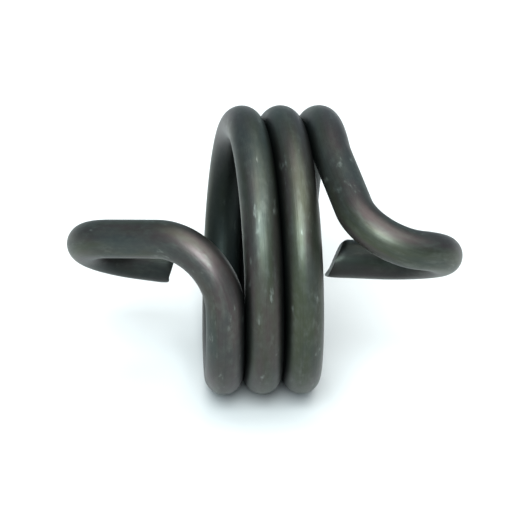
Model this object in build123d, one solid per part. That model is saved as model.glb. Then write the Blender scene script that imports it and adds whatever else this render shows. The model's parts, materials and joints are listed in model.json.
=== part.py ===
from build123d import *
import math
import os

# A helical torsion spring of round wire: a close-wound coil with a hooked leg at each end.
# Millimetres. The coil axis lies along X. +Z is up, and the legs are on the -Y side.
# The origin is on the coil axis, halfway along the wound length.

# Driving dimensions
wire_diameter = 5.0
coil_mean_radius = 16.5
coil_pitch = 5.1
coil_end_deg = 1000.0  # the coil runs from 0 degrees to here, measured about its axis from -Y towards -Z

# The coil flexes along its whole length, so it is cut into stretches that turn on each other.
stretch_deg = 90.0
first_cut_deg = 45.0
hinge_travel_deg = 3.0  # how far one stretch turns on the next as the spring winds up
relief_allowance = 1.2  # the cuts open on the inside of the coil by this much more than the travel

# The legs: how far each bend turns the wire, and how the plane of the bend is rolled about the wire.
left_bend_radius = 8.0
left_bend_deg = 104.0
left_bend_roll_deg = -35.0
left_limb_length = 7.6
left_eye_radius = 7.1
left_eye_deg = 144.6
left_eye_roll_deg = -88.0
left_tail_length = 4.4

right_lead_radius = 20.0
right_lead_deg = 6.0
right_lead_roll_deg = -1.5
right_run_length = 10.6
right_bend_radius = 6.6
right_bend_deg = 100.8
right_bend_roll_deg = -21.5
right_eye_radius = 7.0
right_eye_deg = 155.8
right_eye_roll_deg = -65.3
right_tail_length = 5.6

# The wire's ends are sheared, and the shear leaves them out of square: tipped about Y, turned about Z.
left_shear_tip_deg = 9.5
left_shear_turn_deg = -1.0
right_shear_tip_deg = 15.0
right_shear_turn_deg = -15.0

# Derived dimensions
wire_radius = wire_diameter / 2
cutter_reach = wire_radius + 1.5  # how far a cutting plane reaches past the wire's centreline
relief_deg = relief_allowance * hinge_travel_deg / 2  # what each face of a cut gives up inside the coil
overrun_deg = 6.0  # how far a stretch is swept past its cuts before it is trimmed to them

turn_parts = ["bottom", "rear", "top", "front"]


def coil_offset(angle_deg):
    """How far along X the wire's centreline is at this angle of the coil."""
    return coil_pitch * (angle_deg - coil_end_deg / 2) / 360


def coil_point(angle_deg, radius=coil_mean_radius):
    """The point at this angle of the coil, on the wire's centreline unless another radius is given."""
    angle = math.radians(angle_deg)
    return Vector(coil_offset(angle_deg), -radius * math.cos(angle), -radius * math.sin(angle))


def coil_tangent(angle_deg):
    """The direction in which the wire runs as the angle grows."""
    angle = math.radians(angle_deg)
    rise = coil_pitch / (2 * math.pi)
    along = Vector(rise, coil_mean_radius * math.sin(angle), -coil_mean_radius * math.cos(angle))
    return along.normalized()


def coil_wire(start_deg, end_deg):
    """The helical wire between two angles, with ends square to the wire."""
    axis_plane = Plane(origin=(coil_offset(start_deg), 0, 0), x_dir=(0, -1, 0), z_dir=(1, 0, 0))
    height = coil_offset(end_deg) - coil_offset(start_deg)
    helix = Helix(coil_pitch, height, coil_mean_radius)
    path = axis_plane.location * Rot(0, 0, start_deg) * helix
    section = Plane(origin=coil_point(start_deg), z_dir=coil_tangent(start_deg)) * Circle(wire_radius)
    return sweep(section, path=path, is_frenet=True)


def cut_profile(angle_deg, side):
    """Points down a cut, from outside the coil to inside. The inner half leans by the relief angle.

    side is +1 on the face that starts a stretch and -1 on the face that ends one.
    """
    outer = coil_point(angle_deg, coil_mean_radius + cutter_reach)
    centre = coil_point(angle_deg)
    inward = (centre - outer).normalized()
    lean = inward.rotate(Axis.X, -side * relief_deg)
    inner = centre + lean * cutter_reach
    return [(outer.Y, outer.Z), (centre.Y, centre.Z), (inner.Y, inner.Z)]


def between_cuts(start_deg, end_deg):
    """A wedge along the coil axis that keeps only the wire between two cuts."""
    corner_radius = (coil_mean_radius + cutter_reach) / math.cos(math.radians(end_deg - start_deg) / 2)
    corner = coil_point((start_deg + end_deg) / 2, corner_radius)
    outline = cut_profile(start_deg, 1)[::-1] + [(corner.Y, corner.Z)] + cut_profile(end_deg, -1)
    middle = coil_offset((start_deg + end_deg) / 2)
    across = Plane(origin=(middle, 0, 0), x_dir=(0, 1, 0), z_dir=(1, 0, 0))
    face = across * make_face(Polyline(*outline, close=True))
    return extrude(face, amount=2 * wire_diameter, both=True)


def coil_stretch(start_deg, end_deg):
    """One stretch of the coil, between two cuts."""
    return coil_wire(start_deg - overrun_deg, end_deg + overrun_deg) & between_cuts(start_deg, end_deg)


def lead_in():
    """The start of the coil: square where the left leg joins it, cut where the first stretch begins."""
    return coil_wire(0, first_cut_deg + overrun_deg) & between_cuts(-first_cut_deg, first_cut_deg)


def lead_out(start_deg):
    """The end of the coil: cut where the last hinge is, square where the right leg joins it."""
    end_cut_deg = start_deg + stretch_deg
    return coil_wire(start_deg - overrun_deg, coil_end_deg) & between_cuts(start_deg, end_cut_deg)


def straight(cursor, length):
    """A straight run of wire from the cursor, and the cursor at its end. The cursor's Z is the wire's."""
    run = extrude(cursor * Circle(wire_radius), amount=length)
    return run, cursor.offset(length)


def bend(cursor, radius, angle_deg, roll_deg):
    """A bend of the wire from the cursor, in a plane rolled about the wire, and the cursor at its end."""
    towards = cursor.x_dir.rotate(Axis((0, 0, 0), cursor.z_dir), roll_deg)
    pivot = Axis(cursor.origin + towards * radius, cursor.z_dir.cross(towards))
    turned = revolve(cursor * Circle(wire_radius), axis=pivot, revolution_arc=angle_deg)
    turn = Axis((0, 0, 0), pivot.direction)
    end = Plane(
        origin=pivot.position - (towards * radius).rotate(turn, angle_deg),
        x_dir=cursor.x_dir.rotate(turn, angle_deg),
        z_dir=cursor.z_dir.rotate(turn, angle_deg),
    )
    return turned, end


def sheared_tail(cursor, length, tip_deg, turn_deg):
    """The wire's last straight run, sheared off a little out of square."""
    spare = wire_radius
    run, _ = straight(cursor, length + spare)
    shear = Plane(
        origin=cursor.origin + cursor.z_dir * length,
        z_dir=cursor.z_dir.rotate(Axis.Y, tip_deg).rotate(Axis.Z, turn_deg),
    )
    return split(run, bisect_by=shear, keep=Keep.BOTTOM)


def left_leg_and_hook():
    """The left leg leaves the start of the coil backwards, and turns outwards into its hook."""
    cursor = Plane(origin=coil_point(0), x_dir=(-1, 0, 0), z_dir=-coil_tangent(0))
    knee, cursor = bend(cursor, left_bend_radius, left_bend_deg, left_bend_roll_deg)
    limb, cursor = straight(cursor, left_limb_length)
    eye, cursor = bend(cursor, left_eye_radius, left_eye_deg, left_eye_roll_deg)
    tail = sheared_tail(cursor, left_tail_length, left_shear_tip_deg, left_shear_turn_deg)
    return knee + limb, eye + tail


def right_leg_and_hook():
    """The right leg eases off the coil, runs straight, and turns outwards into its hook."""
    cursor = Plane(origin=coil_point(coil_end_deg), x_dir=(1, 0, 0), z_dir=coil_tangent(coil_end_deg))
    lead, cursor = bend(cursor, right_lead_radius, right_lead_deg, right_lead_roll_deg)
    run, cursor = straight(cursor, right_run_length)
    knee, cursor = bend(cursor, right_bend_radius, right_bend_deg, right_bend_roll_deg)
    eye, cursor = bend(cursor, right_eye_radius, right_eye_deg, right_eye_roll_deg)
    tail = sheared_tail(cursor, right_tail_length, right_shear_tip_deg, right_shear_turn_deg)
    return lead + run + knee, eye + tail


def coil_stretches():
    """Every stretch between two hinges, by name: turn_1_bottom, turn_1_rear and so on."""
    stretches = {}
    start_deg = first_cut_deg
    while start_deg < coil_end_deg:
        count = round((start_deg - first_cut_deg) / stretch_deg)
        turn, quarter = divmod(count, len(turn_parts))
        name = f"turn_{turn + 1}_{turn_parts[quarter]}"
        if start_deg + stretch_deg < coil_end_deg:
            stretches[name] = coil_stretch(start_deg, start_deg + stretch_deg)
        else:
            stretches[name] = lead_out(start_deg)
        start_deg += stretch_deg
    return stretches


def write_parts():
    os.makedirs("parts", exist_ok=True)
    left_leg, left_hook = left_leg_and_hook()
    right_leg, right_hook = right_leg_and_hook()
    nodes = {
        "left_hook": left_hook,
        "left_leg": left_leg,
        "coil_lead_in": lead_in(),
        **coil_stretches(),
        "right_leg": right_leg,
        "right_hook": right_hook,
    }
    for name, shape in nodes.items():
        export_step(shape, f"parts/{name}.step")


write_parts()
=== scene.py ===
import json
import math
from dataclasses import dataclass, field

import bpy
import numpy as np
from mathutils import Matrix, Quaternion, Vector

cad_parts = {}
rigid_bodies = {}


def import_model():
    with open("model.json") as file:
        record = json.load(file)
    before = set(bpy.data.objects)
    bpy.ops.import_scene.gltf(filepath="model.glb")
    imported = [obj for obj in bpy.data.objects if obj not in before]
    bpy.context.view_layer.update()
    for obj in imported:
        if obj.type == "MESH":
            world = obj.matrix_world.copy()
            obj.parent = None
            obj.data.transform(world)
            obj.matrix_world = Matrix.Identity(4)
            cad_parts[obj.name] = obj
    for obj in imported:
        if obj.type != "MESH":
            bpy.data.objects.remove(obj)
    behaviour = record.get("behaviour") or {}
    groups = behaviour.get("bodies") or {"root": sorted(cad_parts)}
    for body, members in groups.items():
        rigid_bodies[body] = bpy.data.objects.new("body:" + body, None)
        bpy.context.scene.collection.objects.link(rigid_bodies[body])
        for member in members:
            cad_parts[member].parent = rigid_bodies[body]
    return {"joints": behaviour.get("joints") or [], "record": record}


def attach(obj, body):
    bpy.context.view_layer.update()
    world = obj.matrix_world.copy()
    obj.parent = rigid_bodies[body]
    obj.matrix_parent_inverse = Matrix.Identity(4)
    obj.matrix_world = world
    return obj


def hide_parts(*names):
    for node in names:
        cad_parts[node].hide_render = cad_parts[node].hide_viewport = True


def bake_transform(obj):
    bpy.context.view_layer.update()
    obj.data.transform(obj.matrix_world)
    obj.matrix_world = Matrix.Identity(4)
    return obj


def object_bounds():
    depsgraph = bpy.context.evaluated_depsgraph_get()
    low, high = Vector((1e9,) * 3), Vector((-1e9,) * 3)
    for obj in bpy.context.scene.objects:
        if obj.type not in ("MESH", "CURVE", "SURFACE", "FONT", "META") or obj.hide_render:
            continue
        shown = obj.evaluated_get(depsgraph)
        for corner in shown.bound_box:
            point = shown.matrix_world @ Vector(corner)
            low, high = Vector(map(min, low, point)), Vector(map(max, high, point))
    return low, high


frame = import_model()
cad_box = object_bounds()

MM = 0.001

# The wire's route, the same as the CAD's, in millimetres and degrees.
WIRE_RADIUS = 2.5
COIL_RADIUS = 16.5
COIL_PITCH = 5.1
COIL_END_DEG = 1000.0
FIRST_HINGE_DEG = 45.0
STRETCH_DEG = 90.0

LEFT_BEND = {"radius": 8.0, "angle": 104.0, "roll": -35.0}
LEFT_LIMB = 7.6
LEFT_EYE = {"radius": 7.1, "angle": 144.6, "roll": -88.0}
LEFT_TAIL = 4.4

RIGHT_LEAD = {"radius": 20.0, "angle": 6.0, "roll": -1.5}
RIGHT_RUN = 10.6
RIGHT_BEND = {"radius": 6.6, "angle": 100.8, "roll": -21.5}
RIGHT_EYE = {"radius": 7.0, "angle": 155.8, "roll": -65.3}
RIGHT_TAIL = 5.6

# How each sheared end is out of square: tipped about Y, then turned about Z.
LEFT_SHEAR = {"tip": 9.5, "turn": -1.0}
RIGHT_SHEAR = {"tip": 15.0, "turn": -15.0}

# How finely the wire is meshed.
STEP = 0.4
POINTS_AROUND = 56

# The sheared ends: the blade pulls the upper rim over, and leaves a small burr on the lower one.
# A higher power keeps the burr closer to the lowest point of the rim.
SHEAR_ZONE = 3.2
ROLLOVER_LENGTH = 0.9
ROLLOVER_DEPTH = 0.42
RIM_ROUNDING = 0.1
BURR_LENGTH = 0.34
BURR_POWER = 14

# The cut faces: the rings they are meshed in, how deep they are dished and rippled, how many ripples go
# round, and how far the ripples twist towards the middle, in radians.
CAP_RINGS = 9
CAP_DISH = 0.16
CAP_RIPPLE = 0.03
CAP_RIPPLES_AROUND = 5
CAP_RIPPLE_TWIST = 9

# Marks of the coiling tools on the wire, as waves: their depth, their length for each radian of the wave,
# and how far they sway round the wire, in radians. The short ones drift round it, a radian in MARK_DRIFT.
LONG_MARK = {"depth": 0.010, "length": 7.3, "sway": 2}
SHORT_MARK = {"depth": 0.005, "length": 2.1, "sway": 3}
MARK_DRIFT = 19

# The CAD leaves a gap between the turns, so that they can wind. The real turns touch, so the wire swells
# here by nearly half the gap where it faces the next turn. A higher power is a narrower swelling.
TURN_GAP = 0.094
SWELL_SHARE = 0.48
SWELL_POWER = 4

# The wire is painted with shade, and swells, where another turn lies closer to it than this.
CLOSE_TURN_GAP = 1.9

# It is painted with shade where it faces the coil's axis: this much, reached this soon as the surface turns
# to the axis, and fading out as the wire leaves the coil's radius by this much.
BORE_PAINTED_SHADE = 0.8
BORE_STEEPNESS = 1.6
BORE_FADE = 1.6

# The hooks' last stretch is painted with shade, darkest at the tails, which lie in the shade of the limbs
# above.
TAIL_SHADE = 0.6
TAIL_SHADE_LENGTH = 15.0
TAIL_SHADE_FADE = 6.0


# The wire's route


@dataclass
class Cursor:
    """A place on the wire's centreline: where it is, where the wire is heading, and a side to roll from."""

    place: Vector
    heading: Vector
    side: Vector


def coil_offset(angle_deg):
    return COIL_PITCH * (angle_deg - COIL_END_DEG / 2) / 360


def coil_place(angle_deg):
    angle = math.radians(angle_deg)
    return Vector((coil_offset(angle_deg), -COIL_RADIUS * math.cos(angle), -COIL_RADIUS * math.sin(angle)))


def coil_heading(angle_deg):
    angle = math.radians(angle_deg)
    rise = COIL_PITCH / (2 * math.pi)
    return Vector((rise, COIL_RADIUS * math.sin(angle), -COIL_RADIUS * math.cos(angle))).normalized()


def coil_run(start_deg, end_deg):
    """Places and headings along the coil, both ends included."""
    length = math.radians(end_deg - start_deg) * COIL_RADIUS
    steps = max(2, round(length / STEP))
    angles = [start_deg + (end_deg - start_deg) * k / steps for k in range(steps + 1)]
    return [(coil_place(a), coil_heading(a)) for a in angles]


def straight_run(cursor, length):
    """Places and headings along a straight run, and the cursor at its end."""
    steps = max(2, round(length / STEP))
    run = [(cursor.place + cursor.heading * (length * k / steps), cursor.heading) for k in range(steps + 1)]
    return run, Cursor(run[-1][0], cursor.heading, cursor.side)


def bend_run(cursor, radius, angle, roll):
    """Places and headings round a bend in a plane rolled about the wire, and the cursor at its end."""
    towards = Quaternion(cursor.heading, math.radians(roll)) @ cursor.side
    axis = cursor.heading.cross(towards)
    pivot = cursor.place + towards * radius
    steps = max(2, round(math.radians(angle) * radius / STEP))
    turns = [Quaternion(axis, math.radians(angle) * k / steps) for k in range(steps + 1)]
    run = [(pivot - turn @ (towards * radius), turn @ cursor.heading) for turn in turns]
    return run, Cursor(run[-1][0], run[-1][1], turns[-1] @ cursor.side)


def coil_end_cursor(angle_deg, heading, side):
    """A cursor at an end of the coil, heading away from it, with its side made square to the wire."""
    return Cursor(coil_place(angle_deg), heading, (side - heading * side.dot(heading)).normalized())


def left_runs():
    """The left leg and the left hook, as two runs that start at the coil."""
    cursor = coil_end_cursor(0, -coil_heading(0), Vector((-1, 0, 0)))
    knee, cursor = bend_run(cursor, **LEFT_BEND)
    limb, cursor = straight_run(cursor, LEFT_LIMB)
    eye, cursor = bend_run(cursor, **LEFT_EYE)
    tail, cursor = straight_run(cursor, LEFT_TAIL)
    return knee + limb[1:], eye + tail[1:]


def right_runs():
    """The right leg and the right hook, as two runs that start at the coil."""
    cursor = coil_end_cursor(COIL_END_DEG, coil_heading(COIL_END_DEG), Vector((1, 0, 0)))
    lead, cursor = bend_run(cursor, **RIGHT_LEAD)
    run, cursor = straight_run(cursor, RIGHT_RUN)
    knee, cursor = bend_run(cursor, **RIGHT_BEND)
    eye, cursor = bend_run(cursor, **RIGHT_EYE)
    tail, cursor = straight_run(cursor, RIGHT_TAIL)
    return lead + run[1:] + knee[1:], eye + tail[1:]


def reversed_run(run):
    return [(place, -heading) for place, heading in reversed(run)]


def wire_spans():
    """The whole wire from its left end to its right, as named runs that follow on from each other."""
    left_leg, left_hook = left_runs()
    right_leg, right_hook = right_runs()
    spans = [("wire_left_hook", reversed_run(left_hook)), ("wire_left_leg", reversed_run(left_leg))]
    start_deg = 0.0
    for count in range(1, len(frame["joints"]) + 1):
        spans.append((f"wire_coil_{count:02d}", coil_run(start_deg, start_deg + STRETCH_DEG)))
        start_deg += STRETCH_DEG
    spans.append(("wire_right_leg", coil_run(start_deg, COIL_END_DEG) + right_leg[1:]))
    spans.append(("wire_right_hook", right_hook))
    return spans


# The wire's surface


def smoothed(share):
    """A share from 0 to 1 that leaves 0 and reaches 1 gently."""
    return share * share * (3 - 2 * share)


class Wire:
    """The wire's whole surface as one grid, from which each piece takes its own rings."""

    def __init__(self, spans):
        places, headings = [], []
        self.span_rings = {}
        for name, run in spans:
            first = max(0, len(places) - 1)
            joined = run if not places else run[1:]
            places += [p for p, _ in joined]
            headings += [h for _, h in joined]
            self.span_rings[name] = (first, len(places) - 1)
        self.centre = np.array(places)
        self.heading = np.array(headings)
        self.last_ring = len(places) - 1
        self.along = np.concatenate([[0], np.cumsum(np.linalg.norm(np.diff(self.centre, axis=0), axis=1))])
        self.side = self.carried_side()
        self.angle = np.arange(POINTS_AROUND) * 2 * math.pi / POINTS_AROUND
        self.outward = self.directions()
        self.surface = self.centre[:, None] + self.outward * WIRE_RADIUS
        touching = self.groove_shade_and_swell()
        self.surface += self.outward * self.unevenness(touching)[..., None]
        self.shear_end(0)
        self.shear_end(self.last_ring)
        self.normal = self.surface_normals()
        # All the painted shade together: in the grooves between turns, in the coil's bore and on the hooks'
        # tails.
        self.painted_shade = np.maximum(np.maximum(touching, self.bore_painted_shade()), self.tail_painted_shade())

    def carried_side(self):
        """A direction square to the wire, carried along it without twisting."""
        side = np.zeros_like(self.heading)
        side[0] = np.cross(self.heading[0], (0, 0, 1))
        for k in range(len(side)):
            before = side[max(0, k - 1)]
            square = before - self.heading[k] * (before @ self.heading[k])
            side[k] = square / np.linalg.norm(square)
        return side

    def directions(self):
        """For every ring and every point round it, the direction from the centreline."""
        third = np.cross(self.heading, self.side)
        cos, sin = np.cos(self.angle), np.sin(self.angle)
        return self.side[:, None] * cos[None, :, None] + third[:, None] * sin[None, :, None]

    def unevenness(self, touching):
        """How far the surface is off true: slight marks in the open, and a swelling at the next turn."""
        along = self.along[:, None]
        around = self.angle[None]
        long_wave = np.sin(along / LONG_MARK["length"] + LONG_MARK["sway"] * np.sin(around))
        drifting = around + along / MARK_DRIFT
        short_wave = np.sin(along / SHORT_MARK["length"] + SHORT_MARK["sway"] * np.cos(drifting))
        marks = LONG_MARK["depth"] * long_wave + SHORT_MARK["depth"] * short_wave
        return marks * (1 - touching) + TURN_GAP * SWELL_SHARE * touching ** SWELL_POWER

    def sheared_facing(self, ring):
        """The direction a sheared end faces."""
        outwards, shear = (-1, LEFT_SHEAR) if ring == 0 else (1, RIGHT_SHEAR)
        tip = Quaternion((0, 1, 0), math.radians(shear["tip"]))
        turn = Quaternion((0, 0, 1), math.radians(shear["turn"]))
        return np.array(turn @ tip @ Vector(outwards * self.heading[ring]))

    def shear_end(self, ring):
        """Slants the wire's end, pulls its upper rim over and leaves a burr on the lower one."""
        heading = self.heading[ring] * (-1 if ring == 0 else 1)
        face = self.sheared_facing(ring)
        low = heading * heading[2] - np.array((0, 0, 1))
        low /= np.linalg.norm(low)
        distance = np.abs(self.along - self.along[ring])
        for k in np.flatnonzero(distance < SHEAR_ZONE):
            offset = self.surface[k] - self.centre[k]
            share = 1 - distance[k] / SHEAR_ZONE
            slant = -(offset @ face) / (heading @ face)
            lowness = self.outward[k] @ low
            pull = max(0.0, 1 - distance[k] / ROLLOVER_LENGTH) ** 2
            shrink = pull * (RIM_ROUNDING + ROLLOVER_DEPTH * np.clip(-lowness, 0, 1) ** 2)
            burr = pull ** 3 * BURR_LENGTH * np.clip(lowness, 0, 1) ** BURR_POWER
            self.surface[k] += heading * (share * slant + burr)[:, None]
            self.surface[k] -= self.outward[k] * shrink[:, None]

    def surface_normals(self):
        lengthwise = np.gradient(self.surface, axis=0)
        ahead = np.roll(self.surface, -1, axis=1)
        behind = np.roll(self.surface, 1, axis=1)
        normal = np.cross(ahead - behind, lengthwise)
        return normal / np.linalg.norm(normal, axis=2)[..., None]

    def groove_shade_and_swell(self):
        """From 0 in the open to 1 where the surface touches another turn of the wire: it sets the swelling
        there, and the painted shade in the grooves.
        """
        half_turn = math.pi * COIL_RADIUS
        painted_shade = np.zeros(self.surface.shape[:2])
        for ring, points in enumerate(self.surface):
            others = self.centre[np.abs(self.along - self.along[ring]) > half_turn]
            gap = np.linalg.norm(points[:, None] - others[None], axis=2).min(axis=1) - WIRE_RADIUS
            painted_shade[ring] = np.clip(1 - gap / CLOSE_TURN_GAP, 0, 1)
        return smoothed(painted_shade)

    def bore_painted_shade(self):
        """Painted shade: from 0 on the outside of the coil to its full amount on the inside."""
        distance = np.linalg.norm(self.centre[:, 1:], axis=1)
        in_coil = np.clip(1 - np.abs(distance - COIL_RADIUS) / BORE_FADE, 0, 1)
        inwards = -self.centre[:, 1:] / distance[:, None]
        facing = np.einsum("rpk,rk->rp", self.outward[:, :, 1:], inwards)
        return BORE_PAINTED_SHADE * np.clip(facing * BORE_STEEPNESS, 0, 1) * in_coil[:, None]

    def tail_painted_shade(self):
        """Painted shade near both ends of the wire, fading towards the coil."""
        from_end = np.minimum(self.along, self.along[-1] - self.along)
        share = np.clip((TAIL_SHADE_LENGTH - from_end) / TAIL_SHADE_FADE, 0, 1)
        return TAIL_SHADE * smoothed(share)[:, None]

    def straightened(self, ring):
        """The ring's points as they lay in the straight wire: along it, and across it."""
        across = WIRE_RADIUS * np.cos(self.angle)
        upright = WIRE_RADIUS * np.sin(self.angle)
        return np.stack([np.full(POINTS_AROUND, self.along[ring]), across, upright], axis=1)


# The meshes

WIRE_SLOT = 0
CUT_SLOT = 1


@dataclass
class Skin:
    """A piece's mesh as it is put together. A vertex has its place in the straight wire and its share of
    painted shade.
    """

    points: list = field(default_factory=list)
    straight: list = field(default_factory=list)
    painted_shade: list = field(default_factory=list)
    faces: list = field(default_factory=list)
    corner_normals: list = field(default_factory=list)
    slots: list = field(default_factory=list)

    def add_points(self, points, straight, painted_shade):
        """Adds vertices, and gives the number of the first."""
        first = len(self.points)
        self.points += list(points)
        self.straight += list(straight)
        self.painted_shade += list(painted_shade)
        return first

    def add_face(self, corners, normals, slot):
        self.faces.append(corners)
        self.corner_normals += normals
        self.slots.append(slot)


def cap_rings(wire, ring, outwards):
    """Rings that close an end of the wire, from its rim to the middle, with the blade's slight dishing."""
    rim = wire.surface[ring]
    middle = rim.mean(axis=0)
    spoke = wire.straightened(ring)
    hub = spoke.mean(axis=0)
    heading = outwards * wire.heading[ring]
    rings = []
    for k in range(1, CAP_RINGS):
        share = 1 - k / CAP_RINGS
        dish = CAP_DISH * math.sin(math.pi * share)
        waves = np.sin(CAP_RIPPLES_AROUND * wire.angle + CAP_RIPPLE_TWIST * share)
        ripple = CAP_RIPPLE * waves[:, None] * share
        points = middle + (rim - middle) * share - heading * (dish + ripple)
        rings.append((points, hub + (spoke - hub) * share))
    return rings, middle, hub


def add_sides(skin, wire, first, last):
    """The outside of the wire between two of its rings."""
    for ring in range(first, last + 1):
        skin.add_points(wire.surface[ring], wire.straightened(ring), wire.painted_shade[ring])
    normals = wire.normal[first:last + 1].reshape(-1, 3)
    for ring in range(last - first):
        low = ring * POINTS_AROUND
        high = low + POINTS_AROUND
        for k in range(POINTS_AROUND):
            after = (k + 1) % POINTS_AROUND
            face = [low + k, low + after, high + after, high + k]
            skin.add_face(face, [normals[v] for v in face], WIRE_SLOT)


def add_end(skin, wire, ring, outwards, rim_start):
    """Closes a piece: with a sheared face at an end of the wire, and with a flat one anywhere else."""
    if ring in (0, wire.last_ring):
        rings, middle, middle_straight = cap_rings(wire, ring, outwards)
        facing = wire.sheared_facing(ring)
        slot = CUT_SLOT
    else:
        rings = []
        middle, middle_straight = wire.centre[ring], wire.straightened(ring).mean(axis=0)
        facing = outwards * wire.heading[ring]
        slot = WIRE_SLOT
    starts = [rim_start]
    for points, straight in rings:
        starts.append(skin.add_points(points, straight, [0.0] * POINTS_AROUND))
    hub_vertex = skin.add_points([middle], [middle_straight], [0.0])
    for outer, inner in zip(starts, starts[1:] + [None]):
        for k in range(POINTS_AROUND):
            after = (k + 1) % POINTS_AROUND
            face = [outer + k, outer + after]
            face += [hub_vertex] if inner is None else [inner + after, inner + k]
            skin.add_face(face if outwards > 0 else face[::-1], [facing] * len(face), slot)


def wire_piece(wire, name, material, end_material):
    """A closed piece of the wire, with the attributes its material reads."""
    first, last = wire.span_rings[name]
    skin = Skin()
    add_sides(skin, wire, first, last)
    add_end(skin, wire, first, outwards=-1, rim_start=0)
    add_end(skin, wire, last, outwards=1, rim_start=(last - first) * POINTS_AROUND)
    mesh = bpy.data.meshes.new(name)
    mesh.from_pydata([Vector(p) * MM for p in skin.points], [], skin.faces)
    mesh.materials.append(material)
    mesh.materials.append(end_material)
    mesh.polygons.foreach_set("material_index", skin.slots)
    mesh.polygons.foreach_set("use_smooth", [True] * len(skin.faces))
    attribute = mesh.attributes.new("straight_wire", "FLOAT_VECTOR", "POINT")
    attribute.data.foreach_set("vector", (np.array(skin.straight) * MM).astype(np.float32).ravel())
    attribute = mesh.attributes.new("painted_shade", "FLOAT", "POINT")
    attribute.data.foreach_set("value", np.array(skin.painted_shade, dtype=np.float32))
    mesh.normals_split_custom_set([tuple(n) for n in skin.corner_normals])
    mesh.update()
    piece = bpy.data.objects.new(name, mesh)
    bpy.context.scene.collection.objects.link(piece)
    return piece


# Materials

# The steel's skin is a dark, mottled oxide, with paler metal where it is worn or scuffed.
OLIVE = (0.044, 0.051, 0.034)
BROWN = (0.055, 0.044, 0.044)
SLATE = (0.038, 0.049, 0.048)
PALE_MOTTLE = (0.068, 0.074, 0.064)
DARK_LINE = (0.030, 0.031, 0.028)
WORN_STEEL = (0.10, 0.112, 0.097)
SCUFFED_STEEL = (0.20, 0.22, 0.20)
# Near-black painted shade, laid into the grooves between turns, the coil's bore and the hooks' tails.
PAINTED_SHADE_COLOUR = (0.004, 0.007, 0.007)
SKIN_METALLIC = 0.92

# The skin's fine relief: its depth in millimetres, and the shares of the draw lines and the grain in it.
SKIN_RELIEF = 0.025
LINE_SHARE = 0.6
GRAIN_SHARE = 0.5

# How much smoother the skin is where it is worn.
WORN_SMOOTHING = 0.08

# The cut ends are bare metal, with a deeper relief of tears and grit.
TORN_DARK = (0.22, 0.22, 0.21)
TORN_PALE = (0.42, 0.43, 0.42)
TORN_RELIEF = 0.06
GRIT_SHARE = 0.6

FLOOR_GREY = (0.57, 0.57, 0.57)
FLOOR_ROUGHNESS = 0.9
FLOOR_SPECULAR = 0.1

# How strong the finer detail of every noise is.
NOISE_ROUGHNESS = 0.6

# The Mix node has several sockets of the same name. These are the colour ones.
MIX_COLOUR_INPUTS = (6, 7)
MIX_COLOUR_OUTPUT = 2


def node(tree, kind, **values):
    """A new node, with each value set on the node itself or on the input of that name."""
    made = tree.nodes.new(kind)
    for key, value in values.items():
        if hasattr(made, key):
            setattr(made, key, value)
        else:
            made.inputs[key].default_value = value
    return made


def wire_noise(tree, along, across, detail, shift=0.0):
    """Noise in the straight wire, its features this long and wide in millimetres. Each shift is another."""
    place = node(tree, "ShaderNodeAttribute", attribute_name="straight_wire")
    stretch = node(tree, "ShaderNodeMapping", vector_type="POINT")
    stretch.inputs["Scale"].default_value = (1 / (along * MM), 1 / (across * MM), 1 / (across * MM))
    stretch.inputs["Location"].default_value = (shift, shift / 2, shift / 3)
    noise = node(tree, "ShaderNodeTexNoise", Scale=1.0, Detail=detail, Roughness=NOISE_ROUGHNESS)
    tree.links.new(place.outputs["Vector"], stretch.inputs["Vector"])
    tree.links.new(stretch.outputs["Vector"], noise.inputs["Vector"])
    return noise.outputs["Fac"]


def between(tree, value, low, high, start=0.0, end=1.0):
    """Maps low..high of a value to start..end, and holds it there."""
    made = node(tree, "ShaderNodeMapRange", interpolation_type="SMOOTHSTEP")
    for socket, number in (("From Min", low), ("From Max", high), ("To Min", start), ("To Max", end)):
        made.inputs[socket].default_value = number
    tree.links.new(value, made.inputs["Value"])
    return made.outputs["Result"]


def blend_colours(tree, share, first, second):
    """Mixes two colours, each a colour or a socket."""
    made = node(tree, "ShaderNodeMix", data_type="RGBA")
    tree.links.new(share, made.inputs["Factor"])
    for number, colour in zip(MIX_COLOUR_INPUTS, (first, second)):
        if isinstance(colour, tuple):
            made.inputs[number].default_value = (*colour, 1.0)
        else:
            tree.links.new(colour, made.inputs[number])
    return made.outputs[MIX_COLOUR_OUTPUT]


def coated(tree, under, over, pattern, low, high, strength=1.0):
    """Lays one colour over another where a pattern is high: none at low, and this strength at high."""
    return blend_colours(tree, between(tree, pattern, low, high, end=strength), under, over)


def product(tree, first, second):
    """The product of a socket and a number or another socket."""
    made = node(tree, "ShaderNodeMath", operation="MULTIPLY")
    tree.links.new(first, made.inputs[0])
    if isinstance(second, float):
        made.inputs[1].default_value = second
    else:
        tree.links.new(second, made.inputs[1])
    return made.outputs[0]


def total(tree, first, second):
    made = node(tree, "ShaderNodeMath", operation="ADD")
    tree.links.new(first, made.inputs[0])
    tree.links.new(second, made.inputs[1])
    return made.outputs[0]


def bump(tree, height, depth):
    """A normal from a height map, with this depth in millimetres."""
    made = node(tree, "ShaderNodeBump", Strength=1.0, Distance=depth * MM)
    tree.links.new(height, made.inputs["Height"])
    return made.outputs["Normal"]


def new_material(name):
    """A material, its node tree and its shader."""
    material = bpy.data.materials.new(name)
    material.use_nodes = True
    return material, material.node_tree, material.node_tree.nodes["Principled BSDF"]


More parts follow.
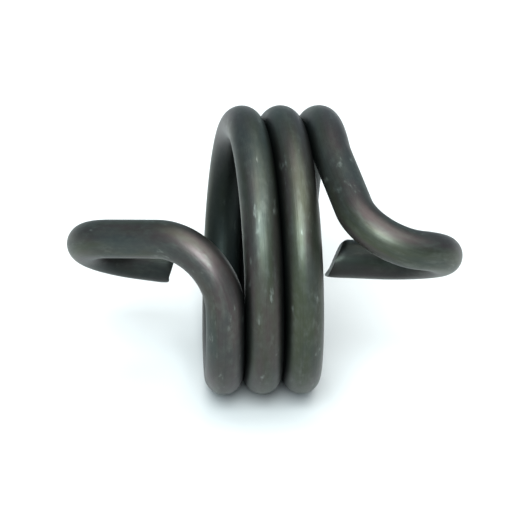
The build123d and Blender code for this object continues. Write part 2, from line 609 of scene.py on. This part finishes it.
def oil_tempered_steel():
    """Dark oxide skin on drawn wire: mottled olive and brown, with fine draw lines, rubbed streaks, and
    painted shade in the grooves, the bore and the hooks' tails.
    """
    material, tree, shader = new_material("oil_tempered_steel")
    blotches = wire_noise(tree, along=15.0, across=5.0, detail=3.0)
    tint = wire_noise(tree, along=26.0, across=4.0, detail=2.0, shift=7.0)
    mottle = wire_noise(tree, along=1.3, across=0.7, detail=5.0, shift=3.0)
    draw_lines = wire_noise(tree, along=16.0, across=0.2, detail=3.0, shift=5.0)
    grain = wire_noise(tree, along=0.16, across=0.12, detail=3.0, shift=11.0)
    rub = wire_noise(tree, along=5.0, across=1.6, detail=3.0, shift=17.0)
    knocks = wire_noise(tree, along=3.6, across=1.4, detail=3.0, shift=29.0)
    # The share of painted shade at each point: the grooves, the bore and the hooks' tails.
    painted_shade_share = node(tree, "ShaderNodeAttribute", attribute_name="painted_shade").outputs["Fac"]

    colour = coated(tree, BROWN, OLIVE, tint, low=0.36, high=0.64)
    colour = coated(tree, colour, SLATE, blotches, low=0.45, high=0.72, strength=0.8)
    colour = coated(tree, colour, PALE_MOTTLE, mottle, low=0.35, high=0.75, strength=0.45)
    colour = coated(tree, colour, DARK_LINE, draw_lines, low=0.5, high=0.75, strength=0.35)
    rubbed = between(tree, rub, low=0.46, high=0.80)
    worn = product(tree, rubbed, between(tree, mottle, low=0.36, high=0.72, end=0.6))
    colour = blend_colours(tree, worn, colour, WORN_STEEL)
    knocked = between(tree, knocks, low=0.62, high=0.74)
    scuffs = product(tree, knocked, between(tree, mottle, low=0.40, high=0.66, end=0.8))
    colour = blend_colours(tree, scuffs, colour, SCUFFED_STEEL)
    # Painted shade: the colour goes towards near-black where the painted shade share is high.
    colour = blend_colours(tree, painted_shade_share, colour, PAINTED_SHADE_COLOUR)
    tree.links.new(colour, shader.inputs["Base Color"])
    shader.inputs["Metallic"].default_value = SKIN_METALLIC

    rough = between(tree, blotches, low=0.35, high=0.65, start=0.41, end=0.50)
    smoother_where_worn = product(tree, worn, -WORN_SMOOTHING)
    tree.links.new(total(tree, rough, smoother_where_worn), shader.inputs["Roughness"])
    height = total(tree, product(tree, draw_lines, LINE_SHARE), product(tree, grain, GRAIN_SHARE))
    tree.links.new(bump(tree, height, SKIN_RELIEF), shader.inputs["Normal"])
    return material


def sheared_steel():
    """The torn end of the wire: bare grey metal with broad dark and pale tears and a fine grit."""
    material, tree, shader = new_material("sheared_steel")
    tears = wire_noise(tree, along=3.0, across=0.9, detail=4.0)
    grit = wire_noise(tree, along=0.2, across=0.18, detail=3.0, shift=4.0)
    colour = coated(tree, TORN_DARK, TORN_PALE, tears, low=0.35, high=0.65)
    tree.links.new(colour, shader.inputs["Base Color"])
    shader.inputs["Metallic"].default_value = 1.0
    rough = between(tree, grit, low=0.3, high=0.7, start=0.38, end=0.6)
    tree.links.new(rough, shader.inputs["Roughness"])
    height = total(tree, tears, product(tree, grit, GRIT_SHARE))
    tree.links.new(bump(tree, height, TORN_RELIEF), shader.inputs["Normal"])
    return material


def pale_floor_material():
    material, _, shader = new_material("pale_floor")
    shader.inputs["Base Color"].default_value = (*FLOOR_GREY, 1.0)
    shader.inputs["Roughness"].default_value = FLOOR_ROUGHNESS
    shader.inputs["Specular IOR Level"].default_value = FLOOR_SPECULAR
    return material


# The wire's pieces


def place_rigid(piece, body, *nodes):
    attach(piece, body)
    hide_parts(*nodes)


def place_bending(piece, joint, angle_deg, *nodes):
    """A piece of the coil, its transform baked into its mesh, shown in place of the given CAD nodes."""
    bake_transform(piece)
    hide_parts(*nodes)


def build_wire():
    wire = Wire(wire_spans())
    steel, cut = oil_tempered_steel(), sheared_steel()
    pieces = {name: wire_piece(wire, name, steel, cut) for name in wire.span_rings}
    bodies = frame["record"]["behaviour"]["bodies"]
    joints = frame["joints"]
    left_body, right_body = joints[0]["parent"], joints[-1]["child"]
    place_rigid(pieces["wire_left_hook"], left_body, "left_hook")
    place_rigid(pieces["wire_left_leg"], left_body, "left_leg")
    for count, joint in enumerate(joints, 1):
        hinge_deg = FIRST_HINGE_DEG + STRETCH_DEG * (count - 1)
        # The first piece takes only the coil's start from the left body, which also has the leg and hook.
        parent_nodes = bodies[joint["parent"]] if count > 1 else ["coil_lead_in"]
        place_bending(pieces[f"wire_coil_{count:02d}"], joint, hinge_deg, *parent_nodes)
    place_rigid(pieces["wire_right_leg"], right_body, "turn_3_top", "right_leg")
    place_rigid(pieces["wire_right_hook"], right_body, "right_hook")


# The stage, in metres and watts

FLOOR_SIZE = 3.0

ROOM_COLOUR = (0.66, 0.88, 1.0)
ROOM_STRENGTH = 0.56
OVERHEAD = {"place": (0.10, -0.12, 0.8), "size": (0.95, 0.95), "power": 10.5, "colour": (1.0, 0.98, 0.93)}
WINDOW = {"place": (-0.12, -0.64, 0.55), "size": (0.38, 0.42), "power": 14.0, "colour": (0.88, 0.98, 1.0)}


def build_floor():
    """A plain square floor under the spring."""
    low = cad_box[0].z
    half = FLOOR_SIZE / 2
    mesh = bpy.data.meshes.new("floor")
    corners = [(-half, -half, low), (half, -half, low), (half, half, low), (-half, half, low)]
    mesh.from_pydata(corners, [], [(0, 1, 2, 3)])
    mesh.materials.append(pale_floor_material())
    floor = bpy.data.objects.new("floor", mesh)
    bpy.context.scene.collection.objects.link(floor)


def area_light(name, place, size, power, colour):
    """A rectangular soft light at a place, facing the spring."""
    data = bpy.data.lights.new(name, "AREA")
    data.shape = "RECTANGLE"
    data.size, data.size_y = size
    data.energy = power
    data.color = colour
    light = bpy.data.objects.new(name, data)
    light.location = place
    light.rotation_mode = "QUATERNION"
    light.rotation_quaternion = (-Vector(place)).to_track_quat("-Z", "Y")
    bpy.context.scene.collection.objects.link(light)


def build_lights():
    world = bpy.data.worlds.new("studio")
    world.use_nodes = True
    background = world.node_tree.nodes["Background"]
    background.inputs["Color"].default_value = (*ROOM_COLOUR, 1.0)
    background.inputs["Strength"].default_value = ROOM_STRENGTH
    bpy.context.scene.world = world
    area_light("overhead", **OVERHEAD)
    area_light("front_window", **WINDOW)


# The camera, at the photograph's viewing angle

CAMERA_AIM = Vector((-0.54, -0.94, -1.86)) * MM
CAMERA_DISTANCE = 522.1 * MM
CAMERA_AZIMUTH_DEG = -5.91
CAMERA_ELEVATION_DEG = 27.97
CAMERA_ROLL_DEG = 2.34
CAMERA_LENS = 269.0
CAMERA_NEAR = 0.01
CAMERA_FAR = 20.0


def build_camera():
    azimuth = math.radians(CAMERA_AZIMUTH_DEG)
    elevation = math.radians(CAMERA_ELEVATION_DEG)
    level = math.cos(elevation)
    back = Vector((math.sin(azimuth) * level, -math.cos(azimuth) * level, math.sin(elevation)))
    data = bpy.data.cameras.new("camera")
    data.lens = CAMERA_LENS
    data.clip_start, data.clip_end = CAMERA_NEAR, CAMERA_FAR
    camera = bpy.data.objects.new("camera", data)
    roll = Quaternion((0.0, 0.0, 1.0), math.radians(CAMERA_ROLL_DEG))
    camera.rotation_mode = "QUATERNION"
    camera.rotation_quaternion = (-back).to_track_quat("-Z", "Y") @ roll
    camera.location = CAMERA_AIM + back * CAMERA_DISTANCE
    bpy.context.scene.collection.objects.link(camera)
    bpy.context.scene.camera = camera


build_camera()
build_lights()
build_floor()
build_wire()

bpy.context.scene.view_settings.view_transform = "Standard"
